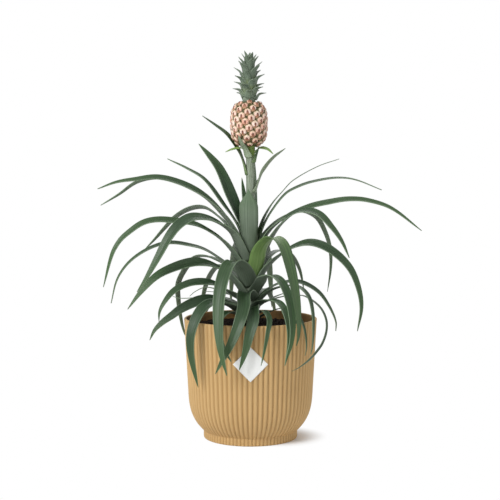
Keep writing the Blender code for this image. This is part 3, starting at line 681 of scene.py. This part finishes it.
def make_bracts():
    pale = young_leaf_skin("bract_waxy_skin", ((0.22, 0.29, 0.17), (0.36, 0.43, 0.31)),
                      ((0.16, 0.22, 0.12), (0.31, 0.37, 0.26)))
    fresh = young_leaf_skin("bract_fresh_skin", ((0.22, 0.33, 0.10), (0.36, 0.48, 0.20)),
                       ((0.16, 0.30, 0.06), (0.30, 0.44, 0.14)))
    dark = young_leaf_skin("bract_dark_skin", ((0.10, 0.17, 0.06), (0.20, 0.29, 0.12)),
                      ((0.020, 0.050, 0.016), (0.060, 0.120, 0.042)))
    skins = {"bract_2": fresh, "bract_4": fresh, "bract_3": pale, "bract_6": pale}
    for name, heading, width, roll, foot, route in BRACTS:
        material = skins.get(name, dark)
        roll += BRACT_ROLLS.get(name, 0)
        shape = strip(heading, width * BRACT_FULLNESS, roll, foot, route, stations=30, strips=8)
        piece = finish(name + "_blade", shape, [material, material], [name])
        add_thickness(piece, 0.6)


def fruit_radius(part):
    return FRUIT_RADIUS * max(1.0 - abs(2.0 * part - 1.0) ** 3.4, 0.0) ** 0.38


def fruit_spots(count):
    """Eye centres spaced by the golden angle, evenly over the fruit's side."""
    for i in range(count):
        part = 0.035 + 0.93 * (i + 0.5) / count
        yield part, i * GOLDEN_ANGLE


def fruit_frame(part, turn, sink):
    """Axes on the fruit's side: X across, Y up the side, Z outwards."""
    step = 0.01
    slope = (fruit_radius(min(part + step, 0.99)) - fruit_radius(max(part - step, 0.01)))
    up = Vector((slope, 2 * step * FRUIT_HEIGHT)).normalized()
    out = Vector((math.cos(turn), math.sin(turn), 0.0))
    lift = (out * up.x + Vector((0, 0, up.y))).normalized()
    side = Vector((-out.y, out.x, 0.0))
    face = side.cross(lift)
    place = out * (fruit_radius(part) - sink)
    place += Vector((FRUIT_SHIFT, 0.0, FRUIT_BASE + FRUIT_HEIGHT * part))
    matrix = Matrix((side, lift, face)).transposed().to_4x4()
    return Matrix.Translation(place) @ matrix


def make_fruit():
    profile = [(0.0, FRUIT_BASE)]
    for i in range(41):
        part = 0.004 + 0.992 * (0.5 - 0.5 * math.cos(math.pi * i / 40))
        profile.append((max(fruit_radius(part) - 1.6, 5.0), FRUIT_BASE + FRUIT_HEIGHT * part))
    profile.append((0.0, FRUIT_BASE + FRUIT_HEIGHT))
    core = turned(profile, 64)
    layer = core.loops.layers.uv.new("UVMap")
    for face in core.faces:
        for loop in face.loops:
            loop[layer].uv = (1.0, 0.0)
    bmesh.ops.translate(core, vec=(FRUIT_SHIFT, 0, 0), verts=core.verts)
    skin = fruit_skin()
    finish("fruit_body", core, [skin], ["fruit"])
    eyes = bmesh.new()
    spikes = bmesh.new()
    spike_layer = spikes.loops.layers.uv.new("UVMap")
    cushion = eye_cushion()
    for part, turn in fruit_spots(FRUIT_EYES):
        matrix = fruit_frame(part, turn, 1.7)
        size = 4.85 * (0.72 + 0.28 * math.sin(math.pi * part))
        add_copy(eyes, cushion, matrix @ Matrix.Scale(size, 4))
        add_spike(spikes, spike_layer, matrix, size, part)
    finish("fruit_eyes", eyes, [skin])
    finish("fruit_spikes", spikes, [spike_skin()])


def eye_cushion():
    """One eye, 1 across: a six-sided cushion with a dimple, and UVs for its rings and height."""
    eye = bmesh.new()
    layer = eye.loops.layers.uv.new("UVMap")
    bmesh.ops.create_cone(eye, cap_ends=False, segments=12, radius1=1.0, radius2=1.0, depth=1.0)
    rising = [edge for edge in eye.edges
              if abs(edge.verts[0].co.z - edge.verts[1].co.z) > 0.5]
    bmesh.ops.subdivide_edges(eye, edges=rising, cuts=4)
    spots = {}
    for vert in eye.verts:
        share = 0.5 - vert.co.z
        turn = math.atan2(vert.co.y, vert.co.x)
        radius = share * (1.0 - 0.07 * math.cos(6.0 * turn))
        spots[vert] = (share, 0.5 + 0.5 * share * math.sin(turn))
        dome = 0.70 * (1.0 - share ** 2.6) - 0.20 * math.exp(-((share / 0.34) ** 2))
        dome += 0.09 * share * math.sin(turn)
        vert.co = (radius * math.cos(turn), 0.92 * radius * math.sin(turn), dome)
    for face in eye.faces:
        for loop in face.loops:
            loop[layer].uv = spots[loop.vert]
    bmesh.ops.remove_doubles(eye, verts=eye.verts, dist=0.0001)
    bmesh.ops.recalc_face_normals(eye, faces=eye.faces)
    mesh = bpy.data.meshes.new("eye")
    eye.to_mesh(mesh)
    eye.free()
    return mesh


def add_copy(target, mesh, matrix):
    """Add a mesh to a growing bmesh, moved by a matrix."""
    known = len(target.verts)
    target.from_mesh(mesh)
    target.verts.ensure_lookup_table()
    bmesh.ops.transform(target, matrix=matrix, verts=target.verts[known:])


def add_spike(spikes, layer, matrix, size, part):
    """The small pointed bract that lies over each eye."""
    made = bmesh.ops.create_grid(spikes, x_segments=4, y_segments=6, size=0.5)
    places = {}
    for vert in made["verts"]:
        along = vert.co.y + 0.5
        width = size * 1.15 * (1.0 - along ** 1.6) ** 0.8 + 0.05
        x = vert.co.x * width
        places[vert] = (vert.co.x + 0.5, along)
        lift = 0.9 + 2.1 * math.sin(math.pi * 0.5 * min(along * 1.5, 1.0)) - 0.25 * x * x
        vert.co = matrix @ Vector((x, -0.95 * size + along * size * 1.25, lift))
    faces = {face for vert in made["verts"] for face in vert.link_faces}
    for face in faces:
        for loop in face.loops:
            loop[layer].uv = places[loop.vert]


def make_crown():
    """Leaves set by the golden angle, from short spreading ones up to long upright ones."""
    material = crown_skin()
    crown = bmesh.new()
    crown.loops.layers.uv.new("UVMap")
    for i in range(CROWN_LEAVES):
        age = 1.0 - i / (CROWN_LEAVES - 1)
        heading = math.degrees(i * GOLDEN_ANGLE)
        foot = CROWN_BASE + 0.5 + 24.0 * (1.0 - age)
        lean = math.radians(6.0 + 34.0 * age ** 1.2)
        length = 10.0 + 17.0 * smoothstep(0.0, 0.75, 1.0 - age)
        width = 10.5 + 3.0 * math.sin(math.pi * (1.0 - age))
        seat = 1.6 + 6.2 * age ** 0.8
        reach = seat + length * math.sin(lean)
        rise = length * math.cos(lean)
        curl = 3.0 + 5.0 * age
        route = ((seat + 0.25 * (reach - seat), foot + 0.40 * rise),
                 (seat + 0.55 * (reach - seat), foot + 0.76 * rise),
                 (reach + curl * 0.5, foot + rise * 1.0))
        leaf = strip(heading, width, 0.0, foot, route, stations=12, strips=6, seat=seat,
                     centre=(FRUIT_SHIFT, 0.0), deepest=5.5)
        mesh = bpy.data.meshes.new("crown_leaf")
        leaf.to_mesh(mesh)
        leaf.free()
        crown.from_mesh(mesh)
        bpy.data.meshes.remove(mesh)
    core = turned([(0.0, CROWN_BASE - 3.0), (7.0, CROWN_BASE - 2.0), (6.6, CROWN_BASE + 3.0),
                   (2.0, CROWN_BASE + 24.0), (0.0, CROWN_BASE + 26.0)], 20)
    bmesh.ops.translate(core, vec=(FRUIT_SHIFT, 0, 0), verts=core.verts)
    finish("crown_core", core, [material])
    piece = finish("crown_leaves", crown, [material, material], ["crown"])
    add_thickness(piece, 0.45)


def make_label():
    """A square stood on its corner and wrapped round the planter's front."""
    shape = bmesh.new()
    bmesh.ops.create_grid(shape, x_segments=24, y_segments=24, size=LABEL_SIDE / 2)
    bmesh.ops.rotate(shape, cent=(0, 0, 0), verts=shape.verts,
                     matrix=Matrix.Rotation(math.radians(45), 3, "Z"))
    for vert in shape.verts:
        height = LABEL_HEIGHT + vert.co.y
        radius = outer_radius(height) + 0.25
        turn = vert.co.x / radius
        vert.co = Vector((radius * math.sin(turn), -radius * math.cos(turn), height))
    piece = finish("blank_label", shape, [label_paper()], ["label"])
    add_thickness(piece, LABEL_THICKNESS)


# ---------------------------------------------------------------- stage

def add_light(name, place, size, power, aim=(0.0, 0.0, 0.18)):
    lamp = bpy.data.lights.new(name, "AREA")
    lamp.energy = power
    lamp.size = size
    item = bpy.data.objects.new(name, lamp)
    item.location = place
    direction = Vector(aim) - Vector(place)
    item.rotation_euler = direction.to_track_quat("-Z", "Y").to_euler()
    bpy.context.collection.objects.link(item)


def seen_directly(tree):
    """1 for camera, glossy and transmission rays, else 0."""
    path = tree.nodes.new("ShaderNodeLightPath")
    seen = path.outputs["Is Camera Ray"]
    for kind in ("Is Glossy Ray", "Is Transmission Ray"):
        either = tree.nodes.new("ShaderNodeMath")
        either.operation = "MAXIMUM"
        tree.links.new(seen, either.inputs[0])
        tree.links.new(path.outputs[kind], either.inputs[1])
        seen = either.outputs[0]
    return seen


def whiten_far_floor(tree, shader):
    """Away from the shadow beside the foot the floor shows plain white, with no horizon."""
    place = tree.nodes.new("ShaderNodeTexCoord")
    length = tree.nodes.new("ShaderNodeVectorMath")
    length.operation = "LENGTH"
    shift = tree.nodes.new("ShaderNodeVectorMath")
    shift.operation = "SUBTRACT"
    shift.inputs[1].default_value = SHADOW_CENTRE
    tree.links.new(place.outputs["Object"], shift.inputs[0])
    tree.links.new(shift.outputs[0], length.inputs[0])
    fade = tree.nodes.new("ShaderNodeMapRange")
    fade.interpolation_type = "SMOOTHSTEP"
    fade.inputs["From Min"].default_value = SHADOW_RADII[0]
    fade.inputs["From Max"].default_value = SHADOW_RADII[1]
    tree.links.new(length.outputs["Value"], fade.inputs["Value"])
    both = tree.nodes.new("ShaderNodeMath")
    both.operation = "MULTIPLY"
    tree.links.new(fade.outputs[0], both.inputs[0])
    tree.links.new(seen_directly(tree), both.inputs[1])
    glow = tree.nodes.new("ShaderNodeEmission")
    mix = tree.nodes.new("ShaderNodeMixShader")
    tree.links.new(both.outputs[0], mix.inputs[0])
    tree.links.new(shader.outputs[0], mix.inputs[1])
    tree.links.new(glow.outputs[0], mix.inputs[2])
    tree.links.new(mix.outputs[0], tree.nodes["Material Output"].inputs["Surface"])


def make_stage():
    shape = bmesh.new()
    bmesh.ops.create_grid(shape, x_segments=1, y_segments=1, size=6.0)
    mesh = bpy.data.meshes.new("floor")
    shape.to_mesh(mesh)
    shape.free()
    floor = bpy.data.objects.new("floor", mesh)
    bpy.context.collection.objects.link(floor)
    material = bpy.data.materials.new("floor_white")
    material.use_nodes = True
    shader = material.node_tree.nodes["Principled BSDF"]
    shader.inputs["Base Color"].default_value = (0.93, 0.93, 0.93, 1.0)
    shader.inputs["Roughness"].default_value = 0.9
    shader.inputs["Specular IOR Level"].default_value = 0.1
    mesh.materials.append(material)
    whiten_far_floor(material.node_tree, shader)
    world = bpy.data.worlds.new("studio")
    bpy.context.scene.world = world
    world.use_nodes = True
    tree = world.node_tree
    back = tree.nodes["Background"]
    mix = tree.nodes.new("ShaderNodeMix")
    mix.data_type = "FLOAT"
    tree.links.new(seen_directly(tree), mix.inputs[0])
    mix.inputs[2].default_value = 0.55
    mix.inputs[3].default_value = 1.0
    tree.links.new(mix.outputs[0], back.inputs["Strength"])
    back.inputs["Color"].default_value = (1.0, 1.0, 1.0, 1.0)
    add_light("key_light", (-0.95, -1.05, 1.1), 0.6, 17.0)
    add_light("fill_light", (1.2, -1.2, 0.7), 1.2, 0.3)
    add_light("back_light", (0.2, 1.3, 1.2), 1.0, 5.0)
    camera = bpy.data.cameras.new("camera")
    camera.lens = CAMERA_LENS
    camera.sensor_width = 36.0
    camera.clip_start = 0.05
    view = bpy.data.objects.new("camera", camera)
    view.location = CAMERA_PLACE
    view.rotation_euler = (math.radians(90.0 - CAMERA_TILT), 0.0, 0.0)
    bpy.context.collection.objects.link(view)
    bpy.context.scene.camera = view
    bpy.context.scene.view_settings.view_transform = "Standard"


make_stage()
make_planter()
make_grow_pot()
make_soil(soil_crumbs())
make_stem()
make_leaves(leaf_upper(), leaf_under())
make_bracts()
make_fruit()
make_crown()
make_label()
